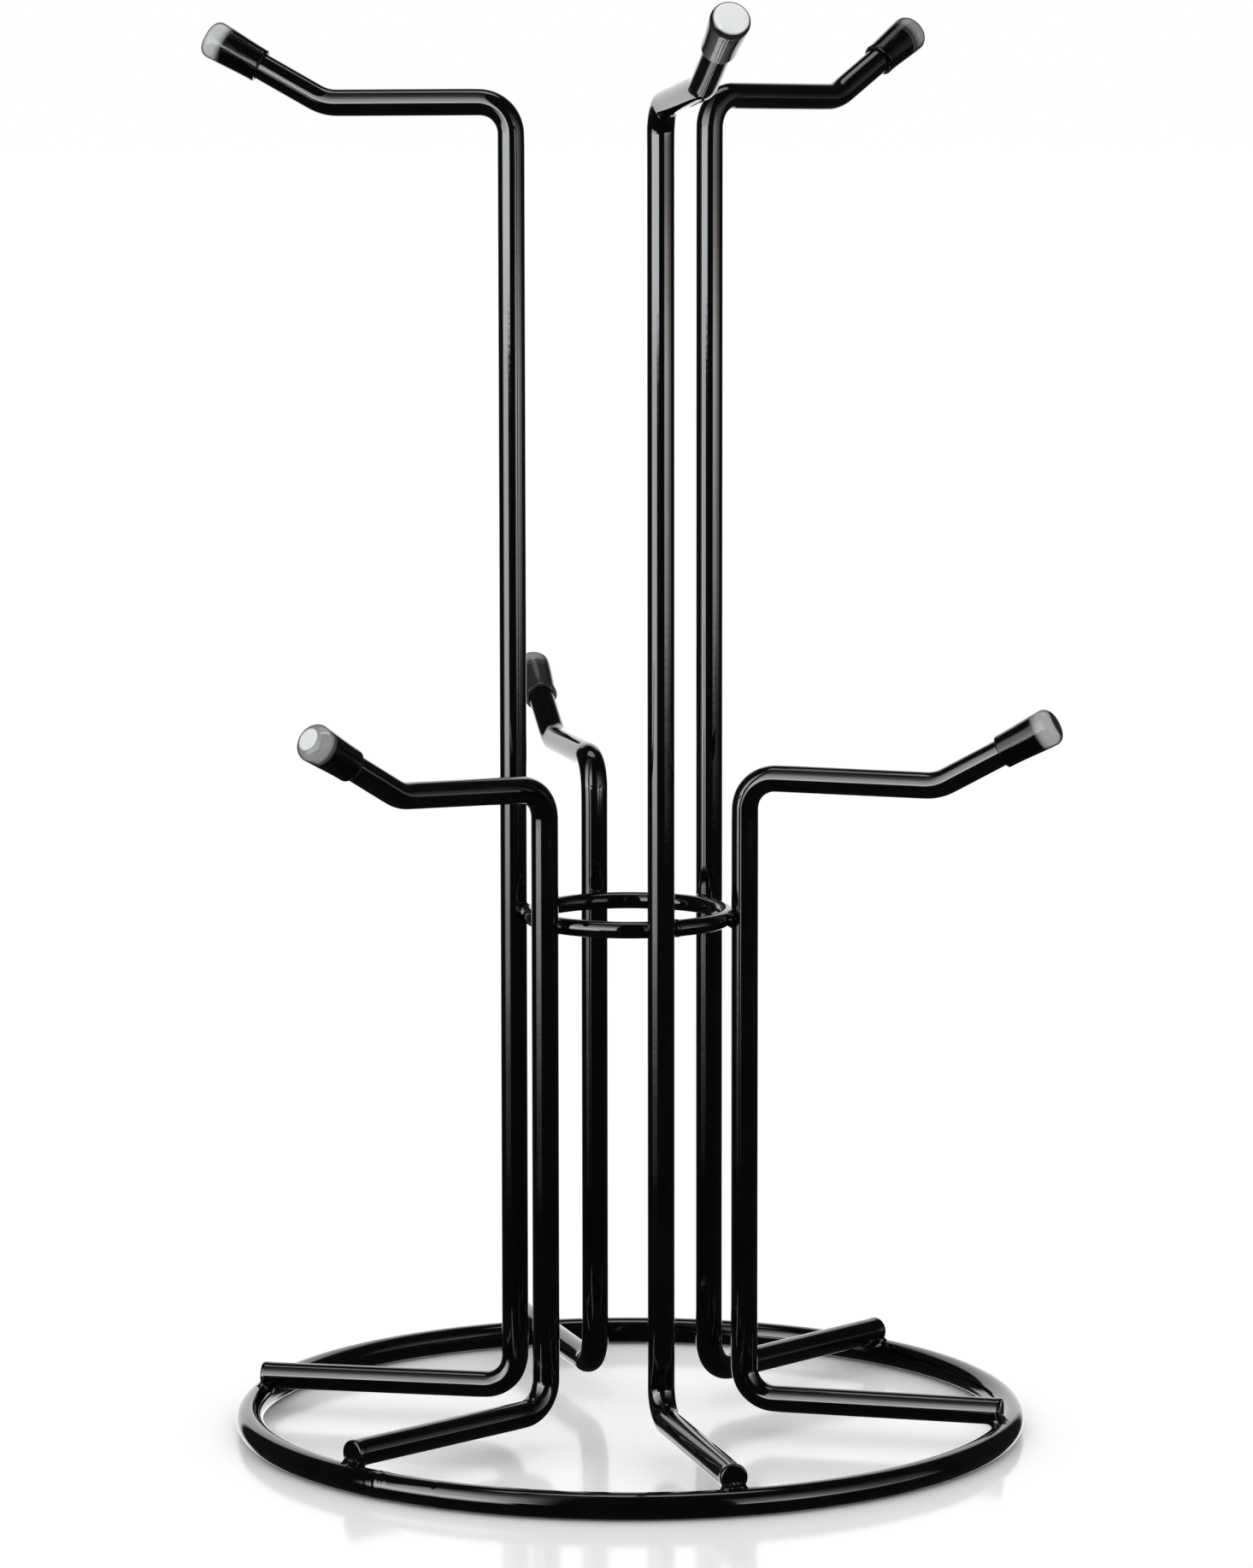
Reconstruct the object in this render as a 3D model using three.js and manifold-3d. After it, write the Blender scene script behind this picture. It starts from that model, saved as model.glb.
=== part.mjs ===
// Mug tree: six bent wires stand on a wire base ring and are steadied by a smaller ring between them.
// Three tall and three short wires alternate. Each bends out into an arm with a raised tip, and a
// clear push-on cap covers the tip. The wires and rings are joined by resistance welds.
// Millimetres, +Z up. The origin is at floor level, on the axis of the base ring.

import * as THREE from "three";
import { mergeVertices } from "three/addons/utils/BufferGeometryUtils.js";
import Module from "manifold-3d";

// Clearance kept between two pieces that touch on the real object.
const GAP = 0.3;

// Wire stock. Every wire is a prism whose size across flats is the wire's diameter.
const WIRE_DIAMETER = 6;
const RING_WIRE_DIAMETER = 3.8;
const WIRE_SIDES = 12;

// Rings. A seam is the butt weld that closes the ring, at this angle from +X.
const BASE_RING_RADIUS = 86;
const BASE_SEAM_ANGLE = 215;
const BASE_RING_STEPS = 60;
const MIDDLE_RING_HEIGHT = 117;
const MIDDLE_SEAM_ANGLE = 280;
const MIDDLE_RING_STEPS = 36;
const SEAM_LENGTH = 3;
const SEAM_SWELL = 0.4;

// How far a resistance weld presses one wire into the other.
const WELD_SINK = 0.8;
const RING_WELD_SINK = 0.3;

// The path of a wire's centre line, in the upright plane through the axis that it stands in.
const UPRIGHT_RADIUS = 26.5;
const FOOT_END_RADIUS = 85.5;
const FOOT_HEIGHT = WIRE_DIAMETER * 1.5 - WELD_SINK;
const TALL_ARM_HEIGHT = 298;
const SHORT_ARM_HEIGHT = 149;
const TALL_ARM_LENGTH = 42;
const SHORT_ARM_LENGTH = 44;
const TIP_LENGTH = 26;
const TIP_RISE = 29;
const BEND_RADIUS = 7;
const BEND_STEPS = 6;
const KINK_RADIUS = 10;
const KINK_STEPS = 3;

// Clear cap: a tube that widens a little towards its thick, round-shouldered end.
const CAP_LENGTH = 14;
const CAP_END_WALL = 4.2;
const CAP_LIP_DIAMETER = 7.7;
const CAP_END_DIAMETER = 8.7;
const CAP_FACE_DIAMETER = 4.4;
const CAP_SHOULDER_STEPS = 3;
const CAP_SIDES = 16;

// Weld nuggets, as half sizes along the foot or radius, across it, and upwards.
const FOOT_WELD_SIZE = new THREE.Vector3(2.6, 3.4, 1.5);
const RING_WELD_SIZE = new THREE.Vector3(1.2, 2.6, 2.4);
const WELD_SIDES = 10;
const WELD_ROWS = 6;

// The six wires, named by the way they point. heading is the angle of the foot and the upright from
// +X. turn is how far the arm points away from the foot's plane, lift is the slope of the arm, and
// raise is how far its bend stands over the even height: the wires are bent and welded by hand, so
// each is a degree or a millimetre off its even place.
const TALL = { armHeight: TALL_ARM_HEIGHT, armLength: TALL_ARM_LENGTH };
const SHORT = { armHeight: SHORT_ARM_HEIGHT, armLength: SHORT_ARM_LENGTH };
const WIRES = [
  { name: "tall_front", ...TALL, heading: 268.5, turn: -3, lift: 7, raise: 0 },
  { name: "tall_right", ...TALL, heading: 30.5, turn: -1, lift: -1.5, raise: 1 },
  { name: "tall_left", ...TALL, heading: 152.5, turn: 1, lift: -0.5, raise: 0 },
  { name: "short_back", ...SHORT, heading: 91, turn: -5, lift: -1, raise: 0 },
  { name: "short_left", ...SHORT, heading: 208.5, turn: 0.5, lift: 3.5, raise: -1 },
  { name: "short_right", ...SHORT, heading: 329, turn: -2, lift: -0.5, raise: 0 },
];

const BASE_RING_HEIGHT = WIRE_DIAMETER / 2;
const MIDDLE_RING_RADIUS = UPRIGHT_RADIUS - (WIRE_DIAMETER + RING_WIRE_DIAMETER) / 2 + RING_WELD_SINK;

const blackCoat = { color: 0x0b0b0c, roughness: 0.16, metalness: 0 };
const clearVinyl = { color: 0xdfe3e6, roughness: 0.25, metalness: 0, transparent: true, opacity: 0.45 };

const wasm = await Module();
wasm.setup();

const radians = THREE.MathUtils.degToRad;

// --- Paths -------------------------------------------------------------------------------------

// A line through corners whose bends are arcs. It has a station at each end and along each arc only,
// so that an extrusion along it spends no faces on the straight lengths.
class BentPath extends THREE.Curve {
  constructor(corners, radii, steps) {
    super();
    const first = corners[1].clone().sub(corners[0]).normalize();
    this.stations = [{ point: corners[0], tangent: first }];
    radii.forEach((radius, i) => {
      this.addBend(corners[i], corners[i + 1], corners[i + 2], radius, steps[i]);
    });
    const last = corners.at(-1).clone().sub(corners.at(-2)).normalize();
    this.stations.push({ point: corners.at(-1), tangent: last });
  }

  addBend(before, corner, after, radius, steps) {
    const inward = corner.clone().sub(before).normalize();
    const outward = after.clone().sub(corner).normalize();
    const angle = inward.angleTo(outward);
    const start = corner.clone().addScaledVector(inward, -radius * Math.tan(angle / 2));
    const side = outward.clone().addScaledVector(inward, -inward.dot(outward)).normalize();
    for (let i = 0; i <= steps; i += 1) {
      const swept = (angle * i) / steps;
      const point = start.clone().addScaledVector(inward, radius * Math.sin(swept));
      point.addScaledVector(side, radius * (1 - Math.cos(swept)));
      const tangent = inward.clone().multiplyScalar(Math.cos(swept));
      tangent.addScaledVector(side, Math.sin(swept));
      this.stations.push({ point, tangent });
    }
  }

  get steps() {
    return this.stations.length - 1;
  }

  stationAt(u) {
    return this.stations[Math.round(u * this.steps)];
  }

  getPointAt(u, target = new THREE.Vector3()) {
    return target.copy(this.stationAt(u).point);
  }

  getTangentAt(u, target = new THREE.Vector3()) {
    return target.copy(this.stationAt(u).tangent);
  }
}

// Part of a level circle round the axis, from one angle to another in radians.
class RingPath extends THREE.Curve {
  constructor(radius, height, from, to) {
    super();
    Object.assign(this, { radius, height, from, to });
  }

  getPointAt(u, target = new THREE.Vector3()) {
    const angle = THREE.MathUtils.lerp(this.from, this.to, u);
    return target.set(this.radius * Math.cos(angle), this.radius * Math.sin(angle), this.height);
  }

  getTangentAt(u, target = new THREE.Vector3()) {
    const angle = THREE.MathUtils.lerp(this.from, this.to, u);
    return target.set(-Math.sin(angle), Math.cos(angle), 0);
  }
}

// --- Shapes ------------------------------------------------------------------------------------

// A regular polygon with flats facing along both axes, measured across its flats.
function flatsSection(acrossFlats) {
  const corner = acrossFlats / 2 / Math.cos(Math.PI / WIRE_SIDES);
  const shape = new THREE.Shape();
  const points = Array.from({ length: WIRE_SIDES }, (_, i) => {
    const angle = ((i + 0.5) * 2 * Math.PI) / WIRE_SIDES;
    return new THREE.Vector2(corner * Math.cos(angle), corner * Math.sin(angle));
  });
  return shape.setFromPoints(points);
}

function sweep(path, diameter, steps) {
  return new THREE.ExtrudeGeometry(flatsSection(diameter), { steps, extrudePath: path });
}

// A whole ring, GAP larger all round than the ring itself, to clear a wire that crosses it.
function ringClearance(radius, height, diameter, steps) {
  const corner = (diameter / 2 + GAP) / Math.cos(Math.PI / WIRE_SIDES);
  const ring = new THREE.TorusGeometry(radius, corner, WIRE_SIDES, steps);
  return ring.translate(0, 0, height);
}

function nugget(size, centre, growth = 0) {
  const grown = size.clone().addScalar(growth);
  const ball = new THREE.SphereGeometry(1, WELD_SIDES, WELD_ROWS);
  return ball.scale(grown.x, grown.y, grown.z).translate(centre.x, centre.y, centre.z);
}

// --- Cutting -----------------------------------------------------------------------------------

function toSolid(geometry) {
  const plain = geometry.clone();
  plain.deleteAttribute("normal");
  plain.deleteAttribute("uv");
  const merged = mergeVertices(plain);
  return new wasm.Manifold(new wasm.Mesh({
    numProp: 3,
    vertProperties: merged.attributes.position.array,
    triVerts: Uint32Array.from(merged.index.array),
  }));
}

function cut(geometry, cutters) {
  const solid = cutters.reduce((rest, cutter) => rest.subtract(toSolid(cutter)), toSolid(geometry));
  const { vertProperties, triVerts } = solid.getMesh();
  const result = new THREE.BufferGeometry();
  result.setAttribute("position", new THREE.BufferAttribute(vertProperties, 3));
  result.setIndex(new THREE.BufferAttribute(triVerts, 1));
  return result;
}

// --- Pieces ------------------------------------------------------------------------------------

function piece(name, geometry, finish) {
  const mesh = new THREE.Mesh(geometry, new THREE.MeshStandardMaterial(finish));
  mesh.name = name;
  return mesh;
}

// A foot rests across the base ring, a little short of the ring's centre line.
const footWeldCentre = new THREE.Vector3(
  FOOT_END_RADIUS - FOOT_WELD_SIZE.x / 4,
  0,
  WIRE_DIAMETER - WELD_SINK / 2,
);

// An upright touches the outside of the middle ring.
const ringWeldCentre = new THREE.Vector3(
  UPRIGHT_RADIUS - WIRE_DIAMETER / 2 + RING_WELD_SINK / 2,
  0,
  MIDDLE_RING_HEIGHT,
);

// A bent rod, open by the seam weld's length and a gap on each side of it.
function ring(name, size) {
  const seam = radians(size.seamAngle);
  const halfSeam = SEAM_LENGTH / 2 / size.radius;
  const halfOpening = halfSeam + GAP / size.radius;
  const rod = new RingPath(size.radius, size.height, seam + halfOpening, seam + 2 * Math.PI - halfOpening);
  const weld = new RingPath(size.radius, size.height, seam - halfSeam, seam + halfSeam);
  const pockets = WIRES.map((wire) => {
    return nugget(size.weldSize, size.weldCentre, GAP).rotateZ(radians(wire.heading));
  });
  return [
    piece(name, cut(sweep(rod, size.diameter, size.steps), pockets), blackCoat),
    piece(`${name}_seam_weld`, sweep(weld, size.diameter + size.seamSwell, 2), blackCoat),
  ];
}

function wireCorners(wire) {
  const turn = radians(wire.turn);
  const along = (angle) => new THREE.Vector3(
    Math.cos(angle) * Math.cos(turn),
    Math.cos(angle) * Math.sin(turn),
    Math.sin(angle),
  );
  const tipDirection = along(radians(TIP_RISE));
  const footEnd = new THREE.Vector3(FOOT_END_RADIUS, 0, FOOT_HEIGHT);
  const heel = new THREE.Vector3(UPRIGHT_RADIUS, 0, FOOT_HEIGHT);
  const shoulder = new THREE.Vector3(UPRIGHT_RADIUS, 0, wire.armHeight + wire.raise);
  const kink = shoulder.clone().addScaledVector(along(radians(wire.lift)), wire.armLength);
  const tip = kink.clone().addScaledVector(tipDirection, TIP_LENGTH);
  return { corners: [footEnd, heel, shoulder, kink, tip], tipDirection };
}

function capGeometry() {
  const grow = 1 / Math.cos(Math.PI / CAP_SIDES);
  const wireCorner = WIRE_DIAMETER / 2 / Math.cos(Math.PI / WIRE_SIDES);
  const bore = (wireCorner + GAP) * grow;
  const lip = (CAP_LIP_DIAMETER / 2) * grow;
  const end = (CAP_END_DIAMETER / 2) * grow;
  const face = (CAP_FACE_DIAMETER / 2) * grow;
  const boreDepth = CAP_LENGTH - CAP_END_WALL;
  const profile = [
    new THREE.Vector2(0, boreDepth),
    new THREE.Vector2(bore, boreDepth),
    new THREE.Vector2(bore, 0),
    new THREE.Vector2(lip, 0),
  ];
  const shoulder = end - face;
  for (let i = 0; i <= CAP_SHOULDER_STEPS; i += 1) {
    const angle = (i / CAP_SHOULDER_STEPS) * (Math.PI / 2);
    const radius = face + shoulder * Math.cos(angle);
    profile.push(new THREE.Vector2(radius, CAP_LENGTH - shoulder * (1 - Math.sin(angle))));
  }
  profile.push(new THREE.Vector2(0, CAP_LENGTH));
  return new THREE.LatheGeometry(profile, CAP_SIDES).rotateX(Math.PI / 2);
}

// A wire, its two welds and its cap, standing in the plane of its heading.
function arm(wire) {
  const { corners, tipDirection } = wireCorners(wire);
  const radii = [BEND_RADIUS, BEND_RADIUS, KINK_RADIUS];
  const path = new BentPath(corners, radii, [BEND_STEPS, BEND_STEPS, KINK_STEPS]);
  const rod = cut(sweep(path, WIRE_DIAMETER, path.steps), [
    ringClearance(BASE_RING_RADIUS, BASE_RING_HEIGHT, WIRE_DIAMETER, BASE_RING_STEPS),
    ringClearance(MIDDLE_RING_RADIUS, MIDDLE_RING_HEIGHT, RING_WIRE_DIAMETER, MIDDLE_RING_STEPS),
    nugget(FOOT_WELD_SIZE, footWeldCentre, GAP),
    nugget(RING_WELD_SIZE, ringWeldCentre, GAP),
  ]);
  const cap = piece(`tip_cap_${wire.name}`, capGeometry(), clearVinyl);
  const boreDepth = CAP_LENGTH - CAP_END_WALL;
  cap.position.copy(corners.at(-1)).addScaledVector(tipDirection, GAP - boreDepth);
  cap.quaternion.setFromUnitVectors(new THREE.Vector3(0, 0, 1), tipDirection);
  const group = new THREE.Group();
  group.rotation.z = radians(wire.heading);
  group.add(
    piece(`wire_${wire.name}`, rod, blackCoat),
    piece(`foot_weld_${wire.name}`, nugget(FOOT_WELD_SIZE, footWeldCentre), blackCoat),
    piece(`ring_weld_${wire.name}`, nugget(RING_WELD_SIZE, ringWeldCentre), blackCoat),
    cap,
  );
  return group;
}

// --- Assembly ----------------------------------------------------------------------------------

const mugTree = new THREE.Group();

mugTree.add(
  ...ring("base_ring", {
    radius: BASE_RING_RADIUS,
    height: BASE_RING_HEIGHT,
    diameter: WIRE_DIAMETER,
    seamAngle: BASE_SEAM_ANGLE,
    seamSwell: 0,
    steps: BASE_RING_STEPS,
    weldSize: FOOT_WELD_SIZE,
    weldCentre: footWeldCentre,
  }),
  ...ring("middle_ring", {
    radius: MIDDLE_RING_RADIUS,
    height: MIDDLE_RING_HEIGHT,
    diameter: RING_WIRE_DIAMETER,
    seamAngle: MIDDLE_SEAM_ANGLE,
    seamSwell: SEAM_SWELL,
    steps: MIDDLE_RING_STEPS,
    weldSize: RING_WELD_SIZE,
    weldCentre: ringWeldCentre,
  }),
);

for (const wire of WIRES) {
  mugTree.add(arm(wire));
}

export default mugTree;
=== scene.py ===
"""Looks of the mug tree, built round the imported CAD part.

Every visible piece is a smooth, finer version of one CAD node or of a rod and the seam that closes
it. Shapes are worked out in millimetres, in the frame of part.mjs, and made in metres.
"""

import math

import bmesh
import bpy
import numpy as np
from mathutils import Matrix, Vector


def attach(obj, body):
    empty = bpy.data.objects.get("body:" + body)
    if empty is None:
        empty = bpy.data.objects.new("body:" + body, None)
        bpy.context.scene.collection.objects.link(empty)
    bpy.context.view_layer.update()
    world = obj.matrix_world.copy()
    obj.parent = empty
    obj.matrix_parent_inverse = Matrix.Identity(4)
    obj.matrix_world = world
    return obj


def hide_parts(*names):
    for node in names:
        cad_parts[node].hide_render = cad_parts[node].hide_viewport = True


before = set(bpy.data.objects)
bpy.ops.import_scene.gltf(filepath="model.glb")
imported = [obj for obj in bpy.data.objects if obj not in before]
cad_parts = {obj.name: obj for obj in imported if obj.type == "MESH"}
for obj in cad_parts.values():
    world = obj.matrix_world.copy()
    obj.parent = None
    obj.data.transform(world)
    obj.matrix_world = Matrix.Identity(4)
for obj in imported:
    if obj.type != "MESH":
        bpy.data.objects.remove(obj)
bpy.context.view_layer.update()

MM = 0.001

# The same numbers as in part.mjs, in millimetres and degrees.
WIRE_RADIUS = 3.0
RING_WIRE_RADIUS = 1.9
BASE_RING_RADIUS = 86.0
BASE_RING_HEIGHT = 3.0
BASE_SEAM_ANGLE = 215.0
MIDDLE_RING_RADIUS = 21.9
MIDDLE_RING_HEIGHT = 117.0
MIDDLE_SEAM_ANGLE = 280.0
SEAM_LENGTH = 3.0
UPRIGHT_RADIUS = 26.5
FOOT_END_RADIUS = 85.5
FOOT_HEIGHT = 8.2
TALL_ARM_HEIGHT = 298.0
SHORT_ARM_HEIGHT = 149.0
TALL_ARM_LENGTH = 42.0
SHORT_ARM_LENGTH = 44.0
TIP_LENGTH = 26.0
TIP_RISE = 29.0
BEND_RADIUS = 7.0
KINK_RADIUS = 10.0
CAP_LENGTH = 14.0
CAP_END_WALL = 4.2
CAP_LIP_RADIUS = 3.85
CAP_END_RADIUS = 4.35
CAP_FACE_RADIUS = 2.2
CAP_BORE_RADIUS = 2.97
CAP_END_GAP = 0.3

# Name, height and length of the arm, heading, turn and lift of each wire.
WIRES = (
    ("tall_front", TALL_ARM_HEIGHT, TALL_ARM_LENGTH, 268.5, -3.0, 7.0),
    ("tall_right", TALL_ARM_HEIGHT + 1.0, TALL_ARM_LENGTH, 30.5, -1.0, -1.5),
    ("tall_left", TALL_ARM_HEIGHT, TALL_ARM_LENGTH, 152.5, 1.0, -0.5),
    ("short_back", SHORT_ARM_HEIGHT, SHORT_ARM_LENGTH, 91.0, -5.0, -1.0),
    ("short_left", SHORT_ARM_HEIGHT - 1.0, SHORT_ARM_LENGTH, 208.5, 0.5, 3.5),
    ("short_right", SHORT_ARM_HEIGHT, SHORT_ARM_LENGTH, 329.0, -2.0, -0.5),
)

UP = np.array((0.0, 0.0, 1.0))


# --- Small helpers -----------------------------------------------------------------------------


def unit(v):
    return v / np.linalg.norm(v)


def bump_at(x, centre, width):
    """A smooth hump of height 1 at centre, about twice width across."""
    return np.exp(-(((x - centre) / width) ** 2))


def ease(x, low, high):
    """0 below low, 1 above high, smooth between them."""
    t = np.clip((x - low) / (high - low), 0.0, 1.0)
    return t * t * (3.0 - 2.0 * t)


def turned(points, degrees):
    """Points turned about the upright axis."""
    a = math.radians(degrees)
    c, s = math.cos(a), math.sin(a)
    return points @ np.array(((c, s, 0.0), (-s, c, 0.0), (0.0, 0.0, 1.0)))


def make_mesh(name, points_mm, faces, sharp_degrees=60.0):
    mesh = bpy.data.meshes.new(name)
    mesh.from_pydata([tuple(p) for p in points_mm * MM], [], faces)
    mesh.validate()
    mesh.polygons.foreach_set("use_smooth", [True] * len(mesh.polygons))
    mesh.set_sharp_from_angle(angle=math.radians(sharp_degrees))
    mesh.update()
    piece = bpy.data.objects.new(name, mesh)
    bpy.context.scene.collection.objects.link(piece)
    return piece


def add_attribute(piece, name, values):
    layer = piece.data.attributes.new(name, "FLOAT", "POINT")
    layer.data.foreach_set("value", values.astype(np.float32))


def loft_faces(rings, sides, first_centre, last_centre):
    """Quads between rings of vertices, and fans to a centre vertex at each end."""
    faces = []
    for i in range(rings - 1):
        a, b = i * sides, (i + 1) * sides
        for j in range(sides):
            k = (j + 1) % sides
            faces.append((a + j, a + k, b + k, b + j))
    last = (rings - 1) * sides
    for j in range(sides):
        k = (j + 1) % sides
        faces.append((first_centre, k, j))
        faces.append((last_centre, last + j, last + k))
    return faces


# --- Wires -------------------------------------------------------------------------------------

WIRE_SIDES = 48
STRAIGHT_STEP = 3.0
ARC_STEP = math.radians(4.0)

# The sawn foot end under its coat: distance from the end and radius of each ring of vertices.
FOOT_END_PROFILE = (
    (0.16, 1.1), (0.13, 2.0), (0.05, 2.42), (0.0, 2.62), (0.03, 2.78), (0.12, 2.9),
    (0.28, 2.99), (0.5, 3.05), (0.8, 3.075), (1.15, 3.06), (1.6, 3.02), (2.2, 3.0),
)
TIP_END_PROFILE = ((0.0, 2.5), (0.1, 2.8), (0.35, 2.97), (0.6, 3.0))


def wire_corners(height, length, turn, lift):
    """Corners of the wire's centre line in the plane of its foot, and the direction of its tip."""
    t = math.radians(turn)

    def along(degrees):
        a = math.radians(degrees)
        return np.array((math.cos(a) * math.cos(t), math.cos(a) * math.sin(t), math.sin(a)))

    foot_end = np.array((FOOT_END_RADIUS, 0.0, FOOT_HEIGHT))
    heel = np.array((UPRIGHT_RADIUS, 0.0, FOOT_HEIGHT))
    shoulder = np.array((UPRIGHT_RADIUS, 0.0, height))
    kink = shoulder + along(lift) * length
    tip = kink + along(TIP_RISE) * TIP_LENGTH
    return [foot_end, heel, shoulder, kink, tip], along(TIP_RISE)


def bent_line(corners, radii):
    """Stations along a line whose corners are arcs: points, directions, distances, and for each
    arc the distances where it starts and ends."""
    points, tangents, spans = [corners[0]], [unit(corners[1] - corners[0])], []
    travelled, distances = 0.0, [0.0]

    def go_straight(to):
        nonlocal travelled
        start = points[-1]
        length = np.linalg.norm(to - start)
        count = max(1, round(length / STRAIGHT_STEP))
        for i in range(1, count + 1):
            points.append(start + (to - start) * i / count)
            tangents.append(tangents[-1])
            distances.append(travelled + length * i / count)
        travelled += length

    for before, corner, after, radius in zip(corners, corners[1:], corners[2:], radii):
        inward, outward = unit(corner - before), unit(after - corner)
        angle = math.acos(float(inward @ outward))
        go_straight(corner - inward * radius * math.tan(angle / 2))
        start = points[-1]
        side = unit(outward - inward * (inward @ outward))
        count = math.ceil(angle / ARC_STEP)
        for i in range(1, count + 1):
            a = angle * i / count
            points.append(start + inward * radius * math.sin(a) + side * radius * (1 - math.cos(a)))
            tangents.append(inward * math.cos(a) + side * math.sin(a))
            distances.append(travelled + radius * a)
        spans.append((travelled, travelled + radius * angle))
        travelled += radius * angle
    go_straight(corners[-1])
    return np.array(points), np.array(tangents), np.array(distances), spans


def carried_normals(tangents, first):
    """A normal at each station, carried along the line without twisting."""
    normals = [unit(first - tangents[0] * (first @ tangents[0]))]
    for tangent in tangents[1:]:
        n = normals[-1]
        normals.append(unit(n - tangent * (n @ tangent)))
    return np.array(normals)


def wire_points(corners, seed):
    points, tangents, along, spans = bent_line(corners, (BEND_RADIUS, BEND_RADIUS, KINK_RADIUS))
    normals = carried_normals(tangents, UP)
    sides = np.cross(tangents, normals)
    length = along[-1]

    # Stations close together are added at both ends, for the end profiles.
    body = (along > FOOT_END_PROFILE[-1][0] + 0.5) & (along < length - TIP_END_PROFILE[-1][0] - 0.5)
    rows = [(d, r) for d, r in FOOT_END_PROFILE]
    rows += [(d, WIRE_RADIUS) for d in along[body]]
    rows += [(length - d, r) for d, r in reversed(TIP_END_PROFILE)]
    where = np.array([d for d, _ in rows])
    radius = np.array([r for _, r in rows])

    def at(values):
        return np.stack([np.interp(where, along, values[:, i]) for i in range(3)], axis=1)

    centre, first, second = at(points), at(normals), at(sides)
    turn = np.arange(WIRE_SIDES) * 2 * math.pi / WIRE_SIDES
    cosine, sine = np.cos(turn), np.sin(turn)
    reach = np.repeat(radius[:, None], WIRE_SIDES, axis=1)

    # A bend flattens the wire a little in the plane of the bend. First normal: inside of the heel
    # and the shoulder, outside of the kink.
    inside = (1.0, 1.0, -1.0)
    for (start, end), sign, strength in zip(spans, inside, (1.0, 1.0, 0.35)):
        amount = ease(where, start - 2.5, start + 2.5) * (1 - ease(where, end - 2.5, end + 2.5))
        amount = strength * amount[:, None]
        outer = np.clip(-sign * cosine, 0.0, 1.0)[None, :]
        reach -= amount * (0.10 * outer**2 - 0.05 * (sine[None, :] ** 2))
    # Marks of the bending die: a flat on the outside of the bend, which starts at a fine step.
    for (start, end), sign in zip(spans[:2], inside):
        amount = bump_at(where, start - 1.0 + 0.4 * math.sin(seed), 0.45)[:, None]
        outer = np.clip(-sign * cosine * 0.8 + sine * 0.6, 0.0, 1.0)[None, :]
        reach -= 0.10 * amount * outer**3

    ring = (
        centre[:, None, :]
        + first[:, None, :] * (reach * cosine)[:, :, None]
        + second[:, None, :] * (reach * sine)[:, :, None]
    )
    caps = np.array([centre[0] + (centre[1] - centre[0]) * 0.2, centre[-1]])
    return np.concatenate((ring.reshape(-1, 3), caps)), len(where)


def wire(name, corners, heading, seed):
    points, rings = wire_points(corners, seed)
    faces = loft_faces(rings, WIRE_SIDES, rings * WIRE_SIDES, rings * WIRE_SIDES + 1)
    return make_mesh(name, turned(points, heading), faces)


# --- Rings -------------------------------------------------------------------------------------

RING_SIDES = 48


def ring_points(radius, height, wire_radius, angles, swell):
    """Vertices of a bent rod. swell gives how far the surface stands out, by angle and side."""
    turn = np.arange(RING_SIDES) * 2 * math.pi / RING_SIDES
    a, t = np.meshgrid(angles, turn, indexing="ij")
    reach = wire_radius + swell(a, t)
    out = radius + reach * np.cos(t)
    points = np.stack((out * np.cos(a), out * np.sin(a), height + reach * np.sin(t)), axis=2)
    ends = [(radius * math.cos(x), radius * math.sin(x), height) for x in (angles[0], angles[-1])]
    return np.concatenate((points.reshape(-1, 3), np.array(ends)))


def ring_rod(name, radius, height, wire_radius, angles, swell):
    points = ring_points(radius, height, wire_radius, angles, swell)
    points[:, 2] = np.maximum(points[:, 2], 0.0)
    count = len(angles) * RING_SIDES
    faces = [tuple(reversed(f)) for f in loft_faces(len(angles), RING_SIDES, count, count + 1)]
    return make_mesh(name, points, faces)


# How far each seam stands out and how wide it is, and how deep and long the flat beside it is.
BASE_SEAM = ((0.045, 2.4), (0.05, 15.0))
MIDDLE_SEAM = ((0.2, 0.9), (0.015, 6.0))


def ring_pair(name, radius, height, wire_radius, seam_angle, bead, clamp):
    """The bent rod and the short seam that closes it. They meet edge to edge."""
    seam = math.radians(seam_angle)
    half = SEAM_LENGTH / 2 / radius

    def swell(a, t):
        off = (a - seam + math.pi) % (2 * math.pi) - math.pi
        along = off * radius
        # Upset metal at the seam, ground down again and left a little rough.
        rough = np.sin(along * 2.7 + 2.0 * np.sin(2 * t + 0.4)) + 0.6 * np.sin(along * 5.1 + 3 * t + 1.0)
        upset = bead[0] * bump_at(along, 0.0, bead[1]) * (1.0 + 0.5 * rough)
        # The clamp that held the rod leaves a shallow flat on one side, up to a fine step.
        flat = clamp[0] * ease(along, 0.5, 3.0) * (1 - ease(along, clamp[1] - 0.7, clamp[1]))
        step = 0.5 * clamp[0] * bump_at(along, clamp[1] + 0.6, 0.5) * (1.0 + np.sin(3 * t))
        # The rod isn't a perfect circle either.
        slow = 0.02 * np.sin(3 * off + 0.7) * np.cos(t) + 0.015 * np.sin(5 * off) * np.sin(t)
        return upset - flat + step + slow

    # Close stations near the seam, wider ones elsewhere.
    near = np.arange(half, 22.0 / radius, 0.35 / radius)
    wide = math.radians(1.5)
    middle = np.arange(near[-1] + wide / 2, 2 * math.pi - near[-1] - wide / 4, wide)
    offsets = np.concatenate((near, middle, 2 * math.pi - near[::-1]))
    rod = ring_rod(f"{name}_visual", radius, height, wire_radius, seam + offsets, swell)
    weld_offsets = np.linspace(-half, half, 13)
    weld = ring_rod(f"{name}_seam_weld_visual", radius, height, wire_radius, seam + weld_offsets, swell)
    return rod, weld


# --- Welds -------------------------------------------------------------------------------------


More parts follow.
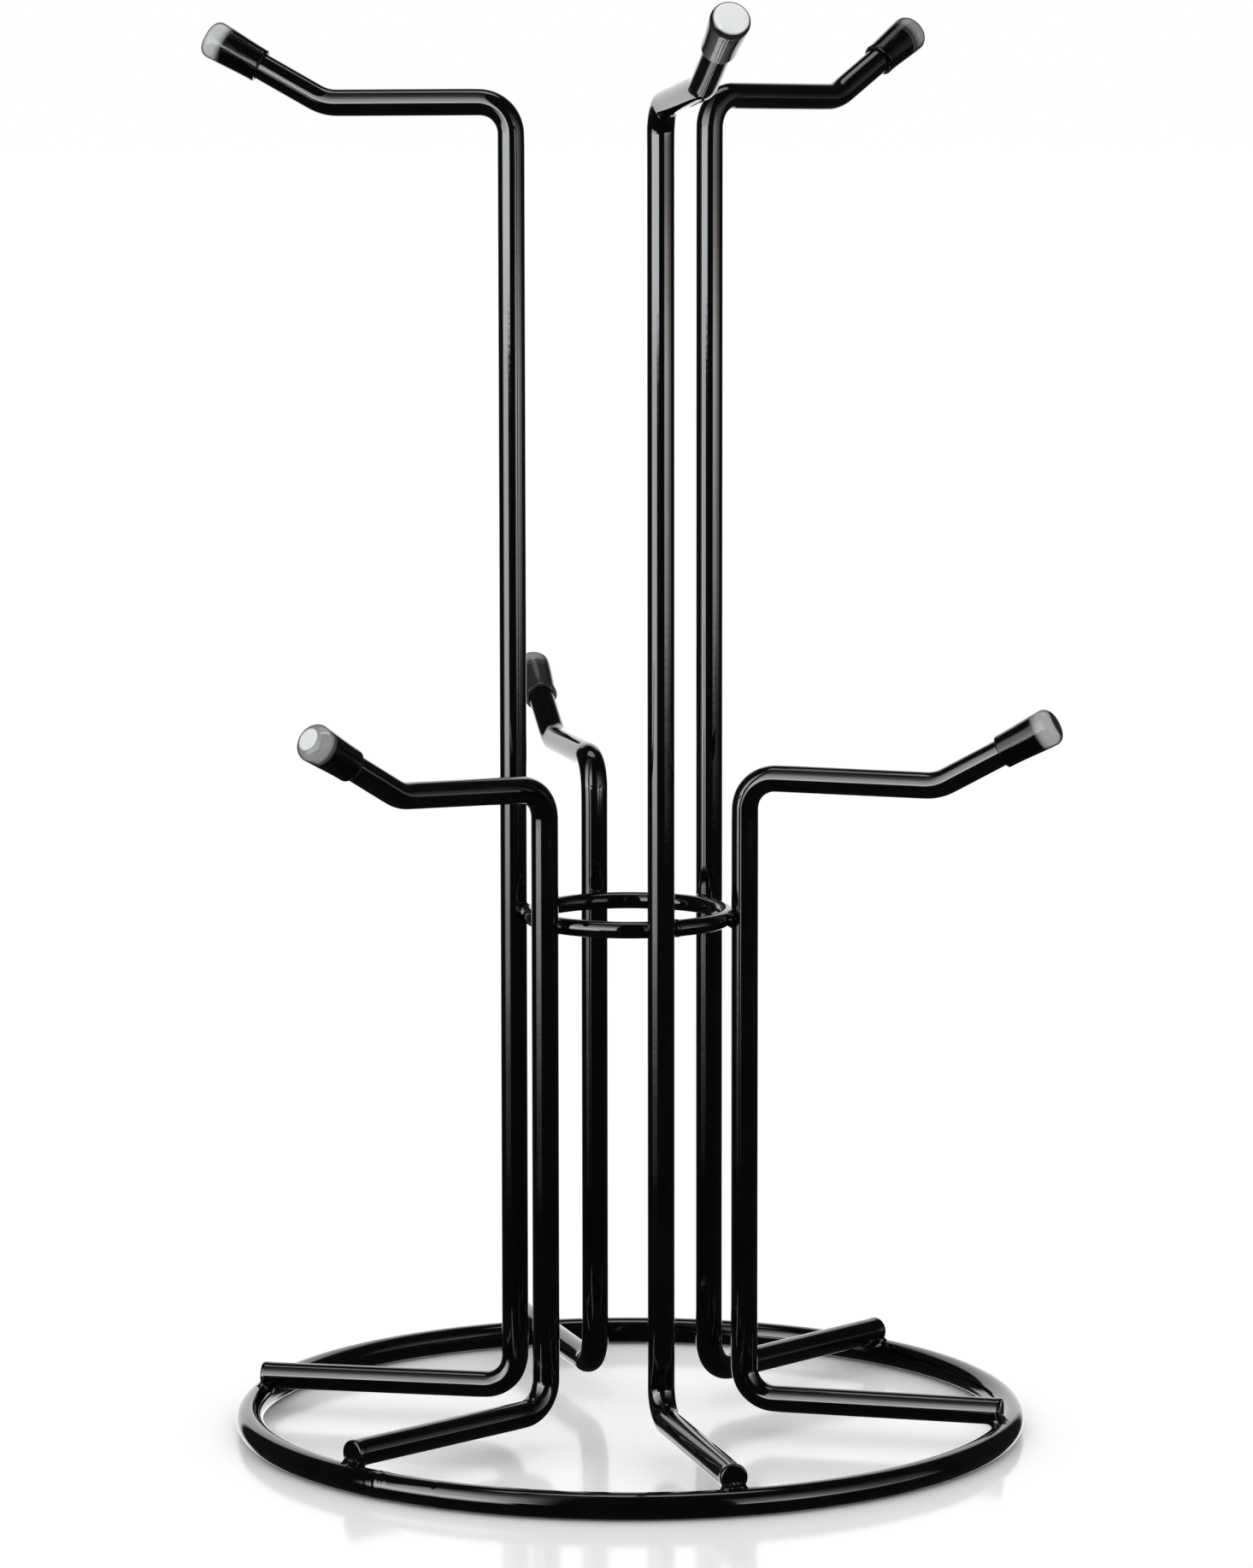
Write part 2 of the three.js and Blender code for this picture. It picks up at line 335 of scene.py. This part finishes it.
def smooth_union(a, b, blend):
    h = np.maximum(blend - np.abs(a - b), 0.0) / blend
    return np.minimum(a, b) - h * h * blend / 4.0


def ring_distance(p, radius, height, wire_radius):
    out = np.hypot(p[:, 0], p[:, 1]) - radius
    return np.hypot(out, p[:, 2] - height) - wire_radius


def foot_distance(p):
    """To the foot, a rod that ends at FOOT_END_RADIUS with a rounded rim."""
    rim = 0.35
    across = np.hypot(p[:, 1], p[:, 2] - FOOT_HEIGHT) - (WIRE_RADIUS - rim)
    beyond = p[:, 0] - (FOOT_END_RADIUS - rim)
    outside = np.hypot(np.maximum(across, 0.0), np.maximum(beyond, 0.0))
    return outside + np.minimum(np.maximum(across, beyond), 0.0) - rim


def upright_distance(p):
    return np.hypot(p[:, 0] - UPRIGHT_RADIUS, p[:, 1]) - WIRE_RADIUS


def weld_bead(name, centre, size, heading, distance, lumps, seed, detail):
    """A closed bead whose surface is the fillet between two wires, where that lies in an ellipsoid
    of that half size. Elsewhere it hides just under their surfaces."""
    ball = bmesh.new()
    bmesh.ops.create_icosphere(ball, subdivisions=detail, radius=1.0)
    directions = np.array([v.co[:] for v in ball.verts])
    faces = [tuple(v.index for v in f.verts) for f in ball.faces]
    ball.free()
    centre, size = np.array(centre), np.array(size)
    limit = 1.0 / np.linalg.norm(directions / size, axis=1)

    # The bead gives way to the wires towards the ellipsoid's surface.
    def field(reach):
        p = centre + directions * reach[:, None]
        share = reach / limit
        phase = np.array((1.9, 2.6, 2.2)) + seed
        wobble = np.sin(p @ phase) * np.sin(p @ phase[::-1] * 1.3 + seed)
        return distance(p) + 0.03 - lumps * wobble * (1 - share) + 0.9 * ease(share, 0.7, 1.0)

    low, high = np.zeros(len(directions)), limit.copy()
    found = np.zeros(len(directions), bool)
    last = np.zeros(len(directions))
    for share in np.linspace(0.02, 1.0, 80):
        value = field(limit * share)
        hit = (value > 0) & ~found
        high[hit], low[hit] = (limit * share)[hit], last[hit]
        found |= hit
        last = np.where(found, last, limit * share)
    low[~found] = limit[~found]
    for _ in range(18):
        mid = (low + high) / 2
        outside = field(mid) > 0
        high, low = np.where(outside, mid, high), np.where(outside, low, mid)
    points = centre + directions * ((low + high) / 2)[:, None]
    points[:, 2] = np.maximum(points[:, 2], 0.0)
    return make_mesh(name, turned(points, heading), faces)


def foot_weld(name, heading, seed):
    def distance(p):
        ring = ring_distance(p, BASE_RING_RADIUS, BASE_RING_HEIGHT, WIRE_RADIUS)
        return smooth_union(foot_distance(p), ring, 1.9)

    centre = (FOOT_END_RADIUS - 0.65, 0.0, 5.6)
    return weld_bead(name, centre, (4.4, 4.2, 2.4), heading, distance, 0.10, seed, 5)


def ring_weld(name, heading, seed):
    def distance(p):
        ring = ring_distance(p, MIDDLE_RING_RADIUS, MIDDLE_RING_HEIGHT, RING_WIRE_RADIUS)
        return smooth_union(upright_distance(p), ring, 1.5)

    centre = (UPRIGHT_RADIUS - WIRE_RADIUS + 0.15, 0.0, MIDDLE_RING_HEIGHT)
    return weld_bead(name, centre, (1.9, 3.3, 3.0), heading, distance, 0.08, seed, 5)


# --- Caps --------------------------------------------------------------------------------------

CAP_SIDES = 72
# How each cap turned out: radius of the milky middle of its end, haze of its end and of its body,
# and where a painted dark band lies round it (painted shade standing in for the wire's end, magnified
# by the vinyl) and how strong it is.
CAP_LOOKS = {
    "tall_front": (3.8, 0.05, 0.2, 12.5, 1.0),
    "tall_right": (2.4, 0.25, 0.0, 10.0, 0.0),
    "tall_left": (2.4, 0.62, 0.0, 10.0, 0.0),
    "short_back": (2.4, 0.25, 0.03, 10.0, 0.0),
    "short_left": (2.6, 0.32, 0.0, 10.2, 0.9),
    "short_right": (2.4, 0.45, 0.0, 10.0, 0.0),
}
PAINTED_DARK_BAND_WIDTH = 0.75


def cap_profile():
    """Distance from the axis and from the lip, from the bottom of the bore, round the lip and over
    the outside to the middle of the end."""
    bore_depth, lip = CAP_LENGTH - CAP_END_WALL, 0.3
    rows = [(1.2, bore_depth), (2.2, bore_depth), (2.75, bore_depth - 0.05)]
    rows.append((CAP_BORE_RADIUS, bore_depth - 0.25))
    rows += [(CAP_BORE_RADIUS, z) for z in np.linspace(bore_depth - 1.0, 0.6, 8)]
    middle = (CAP_BORE_RADIUS + CAP_LIP_RADIUS) / 2
    half = (CAP_LIP_RADIUS - CAP_BORE_RADIUS) / 2
    for a in np.radians(np.linspace(180, 0, 9)):
        rows.append((middle + half * math.cos(a), lip - lip * math.sin(a)))
    shoulder = CAP_END_RADIUS - CAP_FACE_RADIUS
    barrel = CAP_LENGTH - shoulder
    for z in np.linspace(0.8, barrel, 14):
        swell = ease(z / barrel, 0.0, 1.15) / ease(1.0, 0.0, 1.15)
        rows.append((CAP_LIP_RADIUS + (CAP_END_RADIUS - CAP_LIP_RADIUS) * swell, z))
    for a in np.radians(np.linspace(6, 90, 18)):
        rows.append((CAP_FACE_RADIUS + shoulder * math.cos(a), barrel + shoulder * math.sin(a)))
    rows += [(1.5, CAP_LENGTH - 0.01), (0.8, CAP_LENGTH - 0.02)]
    return np.array(rows)


def tip_cap(name, base, direction, heading, look, seed):
    """A cap whose vertices also hold how milky the vinyl is there and how much of the painted dark band
    (painted shade).
    """
    milky_radius, end_haze, body_haze, painted_band_height, painted_band_strength = look
    profile = cap_profile()
    turn = np.arange(CAP_SIDES) * 2 * math.pi / CAP_SIDES
    r, t = np.meshgrid(profile[:, 0], turn, indexing="ij")
    z = np.repeat(profile[:, 1][:, None], CAP_SIDES, axis=1)
    # A dipped cap has an uneven lip and a wall that isn't the same all round.
    near_lip = 1 - ease(z, 0.0, 3.0)
    z = z + near_lip * 0.12 * (1 + np.sin(t + seed)) * 0.5
    outer = (r > 3.2).astype(float)
    r = r - outer * 0.04 * (1 + np.cos(2 * t + seed)) * 0.5
    local = np.stack((r * np.cos(t), r * np.sin(t), z), axis=2).reshape(-1, 3)
    centres = np.array(((0, 0, CAP_LENGTH - CAP_END_WALL), (0, 0, CAP_LENGTH - 0.03)))
    local = np.concatenate((local, centres))
    to_tip = Vector((0, 0, 1)).rotation_difference(Vector(direction)).to_matrix()
    points = local @ np.array(to_tip).T + base
    rings = len(profile)
    count = rings * CAP_SIDES
    faces = loft_faces(rings, CAP_SIDES, count, count + 1)
    piece = make_mesh(name, turned(points, heading), faces)

    across, up = np.hypot(local[:, 0], local[:, 1]), local[:, 2]
    wire_end = CAP_LENGTH - CAP_END_WALL
    milk = 1 - ease(across, milky_radius - 0.25, milky_radius + 0.15)
    milk *= ease(up, CAP_LENGTH - 2.2, CAP_LENGTH - 1.2)
    haze = body_haze + (end_haze - body_haze) * ease(up, wire_end - 0.3, wire_end + 0.8)
    milk = np.maximum(milk, haze)
    # Painted shade: a dark band round the cap's side, where the wire's end, magnified by the vinyl,
    # looks dark.
    off = np.abs(up - painted_band_height)
    painted_dark_band = painted_band_strength * (1 - ease(off, 0.6 * PAINTED_DARK_BAND_WIDTH, PAINTED_DARK_BAND_WIDTH))
    painted_dark_band *= (across > 3.3) * (1 - milk)
    add_attribute(piece, "milk", milk)
    add_attribute(piece, "painted_dark_band", painted_dark_band)
    return piece


# --- Materials ---------------------------------------------------------------------------------


def new_material(name):
    material = bpy.data.materials.new(name)
    material.use_nodes = True
    nodes = material.node_tree.nodes
    return material, nodes, material.node_tree.links, nodes["Principled BSDF"]


def noise(nodes, links, scale, detail=2.0, roughness=0.5):
    """Noise over the piece's own coordinates, in metres: 1/scale is about the size of a feature."""
    place = nodes.new("ShaderNodeTexCoord")
    texture = nodes.new("ShaderNodeTexNoise")
    texture.inputs["Scale"].default_value = scale
    texture.inputs["Detail"].default_value = detail
    texture.inputs["Roughness"].default_value = roughness
    links.new(place.outputs["Object"], texture.inputs["Vector"])
    return texture.outputs["Fac"]


def remap(nodes, links, value, low, high, from_low=0.3, from_high=0.7):
    node = nodes.new("ShaderNodeMapRange")
    node.inputs["From Min"].default_value = from_low
    node.inputs["From Max"].default_value = from_high
    node.inputs["To Min"].default_value = low
    node.inputs["To Max"].default_value = high
    links.new(value, node.inputs["Value"])
    return node.outputs["Result"]


def bump(nodes, links, height, distance, strength, below=None):
    node = nodes.new("ShaderNodeBump")
    node.inputs["Distance"].default_value = distance
    node.inputs["Strength"].default_value = strength
    links.new(height, node.inputs["Height"])
    if below is not None:
        links.new(below, node.inputs["Normal"])
    return node.outputs["Normal"]


def colour_mix(nodes, links, factor, first, second):
    node = nodes.new("ShaderNodeMix")
    node.data_type = "RGBA"
    node.inputs["A"].default_value = (*first, 1.0)
    node.inputs["B"].default_value = (*second, 1.0)
    links.new(factor, node.inputs["Factor"])
    return node.outputs["Result"]


def attribute(nodes, name):
    node = nodes.new("ShaderNodeAttribute")
    node.attribute_name = name
    return node.outputs["Fac"]


def feed(links, socket, value):
    """Gives a socket a number, or links it to another node's output."""
    if isinstance(value, float):
        socket.default_value = value
    else:
        links.new(value, socket)


def calculation(nodes, links, operation, *values):
    node = nodes.new("ShaderNodeMath")
    node.operation = operation
    for socket, value in zip(node.inputs, values):
        feed(links, socket, value)
    return node.outputs["Value"]


def black_coat(name, weld=False):
    """Gloss black baked enamel: a deep black with faint orange peel and slightly uneven gloss."""
    material, nodes, links, shader = new_material(name)
    shader.inputs["IOR"].default_value = 1.5
    patches = remap(nodes, links, noise(nodes, links, 90.0, 3.0), 0.0, 1.0)
    colour = colour_mix(nodes, links, patches, (0.0010, 0.0010, 0.0012), (0.0022, 0.0022, 0.0023))
    links.new(colour, shader.inputs["Base Color"])
    gloss = remap(nodes, links, noise(nodes, links, 160.0, 4.0, 0.6), 0.035, 0.07)
    links.new(gloss, shader.inputs["Roughness"])
    slow = bump(nodes, links, noise(nodes, links, 70.0, 1.0), 0.0003, 0.10)
    peel = bump(nodes, links, noise(nodes, links, 650.0, 2.0), 0.00005, 0.10, slow)
    if weld:
        lumps = noise(nodes, links, 1400.0, 3.0, 0.6)
        peel = bump(nodes, links, lumps, 0.00012, 0.35, peel)
    links.new(peel, shader.inputs["Normal"])
    return material


def clear_vinyl():
    """Soft clear vinyl, milky at the middle of the end. Its tint is painted darker towards its edges as
    seen, painted shade where thick clear walls look dark, and in the painted dark band."""
    material, nodes, links, shader = new_material("clear_vinyl_visual")
    shader.inputs["IOR"].default_value = 1.5
    # Painted shade: the tint goes dark where the surface is seen edge on, and in the painted dark band.
    facing = nodes.new("ShaderNodeLayerWeight")
    facing.inputs["Blend"].default_value = 0.5
    painted_edge_shade = remap(nodes, links, facing.outputs["Facing"], 0.0, 1.0, 0.46, 0.68)
    painted_shade = calculation(nodes, links, "MAXIMUM", painted_edge_shade, attribute(nodes, "painted_dark_band"))
    tint = colour_mix(nodes, links, painted_shade, (0.93, 0.95, 0.96), (0.02, 0.02, 0.02))
    links.new(tint, shader.inputs["Base Color"])
    clear = remap(nodes, links, attribute(nodes, "milk"), 1.0, 0.2, 0.0, 1.0)
    links.new(clear, shader.inputs["Transmission Weight"])
    gloss = remap(nodes, links, noise(nodes, links, 260.0, 3.0), 0.02, 0.05)
    links.new(gloss, shader.inputs["Roughness"])
    dips = bump(nodes, links, noise(nodes, links, 300.0, 1.0), 0.0001, 0.12)
    links.new(dips, shader.inputs["Normal"])
    return material


# --- Pieces ------------------------------------------------------------------------------------

coat = black_coat("black_coat_visual")
weld_coat = black_coat("black_coat_weld_visual", weld=True)
vinyl = clear_vinyl()
stand_pieces, cap_pieces = [], []


def add_piece(piece, material, body, slot, *nodes):
    piece.data.materials.append(material)
    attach(piece, body)
    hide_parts(*nodes)
    (cap_pieces if slot == "clear_vinyl" else stand_pieces).append(piece)


base_size = (BASE_RING_RADIUS, BASE_RING_HEIGHT, WIRE_RADIUS)
middle_size = (MIDDLE_RING_RADIUS, MIDDLE_RING_HEIGHT, RING_WIRE_RADIUS)
base_rod, base_seam = ring_pair("base_ring", *base_size, BASE_SEAM_ANGLE, *BASE_SEAM)
middle_rod, middle_seam = ring_pair("middle_ring", *middle_size, MIDDLE_SEAM_ANGLE, *MIDDLE_SEAM)
add_piece(base_rod, coat, "stand", "black_coat", "base_ring")
add_piece(base_seam, coat, "stand", "black_coat", "base_ring_seam_weld")
add_piece(middle_rod, coat, "stand", "black_coat", "middle_ring")
add_piece(middle_seam, coat, "stand", "black_coat", "middle_ring_seam_weld")

for seed, (name, height, length, heading, turn, lift) in enumerate(WIRES):
    corners, tip_direction = wire_corners(height, length, turn, lift)
    rod = wire(f"wire_{name}_visual", corners, heading, seed)
    add_piece(rod, coat, "stand", "black_coat", f"wire_{name}")
    foot = foot_weld(f"foot_weld_{name}_visual", heading, seed)
    add_piece(foot, weld_coat, "stand", "black_coat", f"foot_weld_{name}")
    small = ring_weld(f"ring_weld_{name}_visual", heading, seed + 0.5)
    add_piece(small, weld_coat, "stand", "black_coat", f"ring_weld_{name}")
    base = corners[-1] + tip_direction * (CAP_END_GAP - (CAP_LENGTH - CAP_END_WALL))
    cap = tip_cap(f"tip_cap_{name}_visual", base, tip_direction, heading, CAP_LOOKS[name], seed)
    add_piece(cap, vinyl, f"cap_{name}", "clear_vinyl", f"tip_cap_{name}")
    if name == "tall_front":
        front_pieces = [rod, cap]


# --- Camera ------------------------------------------------------------------------------------

CAMERA_AZIMUTH = math.radians(253.4)
CAMERA_DISTANCE = 1.4
CAMERA_HEIGHT = 0.334
CAMERA_DIP = math.radians(7.625)
CAMERA_TURN = 0.00047
CAMERA_ROLL = -0.00116
LENS = 145.2
SENSOR = 36.0

towards_camera = Vector((math.cos(CAMERA_AZIMUTH), math.sin(CAMERA_AZIMUTH), 0.0))
camera_data = bpy.data.cameras.new("photo_camera")
camera_data.lens = LENS
camera_data.sensor_width = SENSOR
camera_data.clip_start, camera_data.clip_end = 0.05, 50.0
camera = bpy.data.objects.new("photo_camera", camera_data)
bpy.context.scene.collection.objects.link(camera)
camera.location = towards_camera * CAMERA_DISTANCE + Vector((0.0, 0.0, CAMERA_HEIGHT))
look = -towards_camera * math.cos(CAMERA_DIP) - Vector((0.0, 0.0, math.sin(CAMERA_DIP)))
look.rotate(Matrix.Rotation(CAMERA_TURN, 3, "Z"))
roll = Matrix.Rotation(CAMERA_ROLL, 3, "Z").to_quaternion()
camera.rotation_mode = "QUATERNION"
camera.rotation_quaternion = look.to_track_quat("-Z", "Y") @ roll
bpy.context.scene.camera = camera


# --- Stage and light ---------------------------------------------------------------------------

# Light panels are strips of a drum round the object. Angles are from the direction of the camera,
# positive to its right. They light the object only, and the camera doesn't see them.
PANEL_DISTANCE = 1.6
PANEL_STEP = 0.002
PANEL_CENTRE_HEIGHT = 0.16
# Shares of a softbox's light in the gloss of the caps, and in what shows through them.
CAP_SHARE = 0.4
THROUGH_CAPS = 0.2


def glowing_glass(name, colour):
    """A clear surface that glows. Also gives its nodes and the shader of its glow."""
    material = bpy.data.materials.new(name)
    material.use_nodes = True
    nodes, links = material.node_tree.nodes, material.node_tree.links
    nodes.clear()
    output, both = nodes.new("ShaderNodeOutputMaterial"), nodes.new("ShaderNodeAddShader")
    clear, shader = nodes.new("ShaderNodeBsdfTransparent"), nodes.new("ShaderNodeEmission")
    shader.inputs["Color"].default_value = (*colour, 1.0)
    links.new(shader.outputs["Emission"], both.inputs[0])
    links.new(clear.outputs["BSDF"], both.inputs[1])
    links.new(both.outputs["Shader"], output.inputs["Surface"])
    return material, nodes, links, shader


def softbox_light(name, colour):
    """Glows by the attribute "glow", and less through the caps, whose walls scatter light."""
    material, nodes, links, shader = glowing_glass(name, colour)
    through = nodes.new("ShaderNodeLightPath").outputs["Is Transmission Ray"]
    dim = calculation(nodes, links, "MULTIPLY_ADD", through, THROUGH_CAPS - 1.0, 1.0)
    strength = calculation(nodes, links, "MULTIPLY", attribute(nodes, "glow"), dim)
    links.new(strength, shader.inputs["Strength"])
    return material


def stage_mesh(name, points, faces, material):
    mesh = bpy.data.meshes.new(name)
    mesh.from_pydata([tuple(p) for p in points], [], faces)
    mesh.materials.append(material)
    piece = bpy.data.objects.new(name, mesh)
    bpy.context.scene.collection.objects.link(piece)
    return piece


def grid_faces(rows, columns):
    return [
        (i * columns + j, i * columns + j + 1, (i + 1) * columns + j + 1, (i + 1) * columns + j)
        for i in range(rows - 1)
        for j in range(columns - 1)
    ]


def only_for(light, receivers, name):
    group = bpy.data.collections.new(name)
    for piece in receivers:
        group.objects.link(piece)
    light.light_linking.receiver_collection = group


def panel(name, receivers, colour, from_angle, to_angle, from_rise, to_rise, glow, share=1.0):
    """A strip of the drum between two angles and two elevations in degrees, seen from the middle
    of the object. glow gives its radiance at an angle and an elevation, which is scaled by share."""
    angles = np.linspace(from_angle, to_angle, round(to_angle - from_angle) + 1)
    rises = np.linspace(from_rise, to_rise, round(to_rise - from_rise) + 1)
    a, e = np.meshgrid(angles, rises, indexing="ij")
    world = CAMERA_AZIMUTH + np.radians(a)
    c, s = np.cos(np.radians(e)), np.sin(np.radians(e))
    # Each stands a little behind the one before, because a ray sees only one of two that coincide.
    distance = PANEL_DISTANCE + PANEL_STEP * len(panels)
    points = distance * np.stack((np.cos(world) * c, np.sin(world) * c, s), axis=2)
    points[:, :, 2] += PANEL_CENTRE_HEIGHT
    faces = grid_faces(len(angles), len(rises))
    piece = stage_mesh(name, points.reshape(-1, 3), faces, softbox_light(f"{name}_light", colour))
    add_attribute(piece, "glow", (share * glow(a, e)).ravel())
    piece.visible_camera = False
    piece.visible_diffuse = False
    piece.visible_shadow = False
    only_for(piece, receivers, f"{name}_receivers")
    panels.append(piece)
    return piece


panels = []

# Radiance of the softboxes by elevation. Upright wires mirror what lies a little under the horizon,
# and level ones what lies over it.
LEFT_RISES = (-15.0, -12.5, -10.0, -7.0, -1.0, 0.5, 4.0, 15.0, 27.0, 39.0, 51.0, 65.0, 80.0)
LEFT_RADIANCE = (0.0, 0.8, 4.6, 8.0, 8.6, 11.5, 11.0, 7.0, 6.2, 3.6, 1.1, 0.4, 0.1)
RIGHT_RISES = (-9.0, -7.0, -5.0, -3.0, -1.0, 2.0, 10.0, 16.0, 28.0, 40.0)
RIGHT_RADIANCE = (0.0, 0.8, 4.6, 6.4, 8.0, 3.4, 2.6, 2.0, 0.7, 0.1)
RIGHT_ANGLES = (29.0, 31.0, 40.0, 48.0, 58.0, 68.0, 80.0, 90.0, 98.0)
RIGHT_SHARES = (0.0, 0.8, 0.95, 1.0, 0.7, 0.45, 0.28, 0.18, 0.0)


def left_glow(a, e):
    # The inner edge is further in above the horizon.
    inner = np.where(e > -0.5, -13.0, -31.0)
    side = ease(a, -84.0, -70.0) * (1 - ease(a, inner - 3.0, inner))
    return np.interp(e, LEFT_RISES, LEFT_RADIANCE) * side


def left_inner_glow(a, e):
    return left_glow(a, e) * ease(a, -45.0, -19.0)


def left_outer_glow(a, e):
    return left_glow(a, e) - left_inner_glow(a, e)


def right_glow(a, e):
    return np.interp(e, RIGHT_RISES, RIGHT_RADIANCE) * np.interp(a, RIGHT_ANGLES, RIGHT_SHARES)


def overhead_glow(a, e):
    return 3.0 * ease(e, 64.0, 70.0) * (1 - ease(np.abs(a - 180.0), 60.0, 80.0))


def back_glow(a, e):
    side = ease(a, 152.0, 160.0) * (1 - ease(a, 208.0, 213.0))
    return 1.4 * ease(e, -29.0, -24.0) * (1 - ease(e, 30.0, 42.0)) * side


def low_glow(a, e):
    side = ease(a, 180.0, 186.0) * (1 - ease(a, 222.0, 228.0))
    return 2.6 * side * (1 - ease(np.abs(e + 52.0), 8.0, 14.0))


WHITE = (1.0, 1.0, 1.0)
COOL_WHITE = (0.93, 0.97, 1.0)
above_base = [piece for piece in stand_pieces if piece not in (base_rod, base_seam)]
# Name, pieces of the stand that it lights, colour, its two angles and two elevations, and glow. The
# inner part of the left one stands too high for the base ring.
SOFTBOXES = (
    ("left_softbox", stand_pieces, COOL_WHITE, -85.0, -18.0, -16.0, 80.0, left_outer_glow),
    ("left_inner_softbox", above_base, COOL_WHITE, -45.0, -10.0, -16.0, 80.0, left_inner_glow),
    ("right_softbox", stand_pieces, (1.0, 0.97, 0.93), 28.0, 99.0, -10.0, 41.0, right_glow),
    ("overhead_softbox", stand_pieces, (1.0, 0.99, 0.97), 98.0, 262.0, 63.0, 89.5, overhead_glow),
)
for name, lit, *shape in SOFTBOXES:
    panel(name, lit, *shape)
    # The caps are less glossy than the coat, so the same softbox is dimmer in them.
    panel(f"{name}_on_caps", cap_pieces, *shape, share=CAP_SHARE)
object_pieces = stand_pieces + cap_pieces
back_panel = panel("back_softbox", object_pieces, WHITE, 150.0, 215.0, -30.0, 43.0, back_glow)
back_panel.visible_transmission = False
panel("low_softbox", front_pieces, WHITE, 178.0, 230.0, -68.0, -36.0, low_glow)

# A white surround that only the floor mirrors.
WALL_RADIUS = 9.0
WALL_BOTTOM = -0.6
WALL_HEIGHT = 4.0
FLOOR_RADIUS = 8.8
WALL_SIDES = 64
circle = np.arange(WALL_SIDES) * 2 * math.pi / WALL_SIDES
rim = np.stack((np.cos(circle), np.sin(circle)), axis=1)
wall_points = [(*p, z) for z in (WALL_BOTTOM, WALL_HEIGHT) for p in rim * WALL_RADIUS]
wall_faces = []
for j in range(WALL_SIDES):
    k = (j + 1) % WALL_SIDES
    wall_faces.append((j, k, WALL_SIDES + k, WALL_SIDES + j))
wall = stage_mesh("surround", wall_points, wall_faces, glowing_glass("surround_light", WHITE)[0])
wall.visible_camera = False
wall.visible_diffuse = False
wall.visible_transmission = False
wall.visible_shadow = False

# The floor: white gloss that mirrors the feet softly.
floor_material, _, _, floor_shader = new_material("floor_gloss")
floor_shader.inputs["Base Color"].default_value = (0.93, 0.93, 0.93, 1.0)
floor_shader.inputs["IOR"].default_value = 1.45
floor_shader.inputs["Roughness"].default_value = 0.12
floor_points = [(*p, 0.0) for p in rim * FLOOR_RADIUS]
floor = stage_mesh("floor", floor_points, [tuple(range(WALL_SIDES))], floor_material)
floor.visible_glossy = False
floor.visible_transmission = False
only_for(wall, [floor], "surround_receivers")

# The world: white for the camera, soft fill for matt surfaces, a little less than white for what
# shows through the caps, and nearly dark for reflections, which the panels give.
SEEN = 1.0
STRENGTH_BY_RAY = (("Is Diffuse Ray", 1.18), ("Is Transmission Ray", 0.66), ("Is Glossy Ray", 0.03))
# What shows through the caps from below the horizon is dimmer, like everything that stands there.
BELOW_SHARE = 0.35
world = bpy.data.worlds.new("studio")
bpy.context.scene.world = world
world.use_nodes = True
nodes, links = world.node_tree.nodes, world.node_tree.links
background = nodes["Background"]
background.inputs["Color"].default_value = (*WHITE, 1.0)
rays = nodes.new("ShaderNodeLightPath")


def world_mix(factor, first, second):
    node = nodes.new("ShaderNodeMix")
    links.new(factor, node.inputs["Factor"])
    feed(links, node.inputs["A"], first)
    feed(links, node.inputs["B"], second)
    return node.outputs["Result"]


strength = SEEN
for ray, value in STRENGTH_BY_RAY:
    strength = world_mix(rays.outputs[ray], strength, value)
place, parts = nodes.new("ShaderNodeTexCoord"), nodes.new("ShaderNodeSeparateXYZ")
links.new(place.outputs["Generated"], parts.inputs["Vector"])
below = remap(nodes, links, parts.outputs["Z"], BELOW_SHARE, 1.0, -0.5, -0.2)
dimmed = world_mix(rays.outputs["Is Transmission Ray"], 1.0, below)
links.new(calculation(nodes, links, "MULTIPLY", strength, dimmed), background.inputs["Strength"])

scene = bpy.context.scene
scene.view_settings.view_transform = "Standard"
scene.cycles.max_bounces = 10
scene.cycles.transmission_bounces = 8
scene.cycles.glossy_bounces = 4
scene.cycles.diffuse_bounces = 3
# Less grain in the caps: stray bright paths are cut, and the denoiser goes by colour alone, because
# what lies behind clear vinyl misleads it.
scene.cycles.sample_clamp_indirect = 1.0
scene.cycles.denoising_input_passes = "RGB"
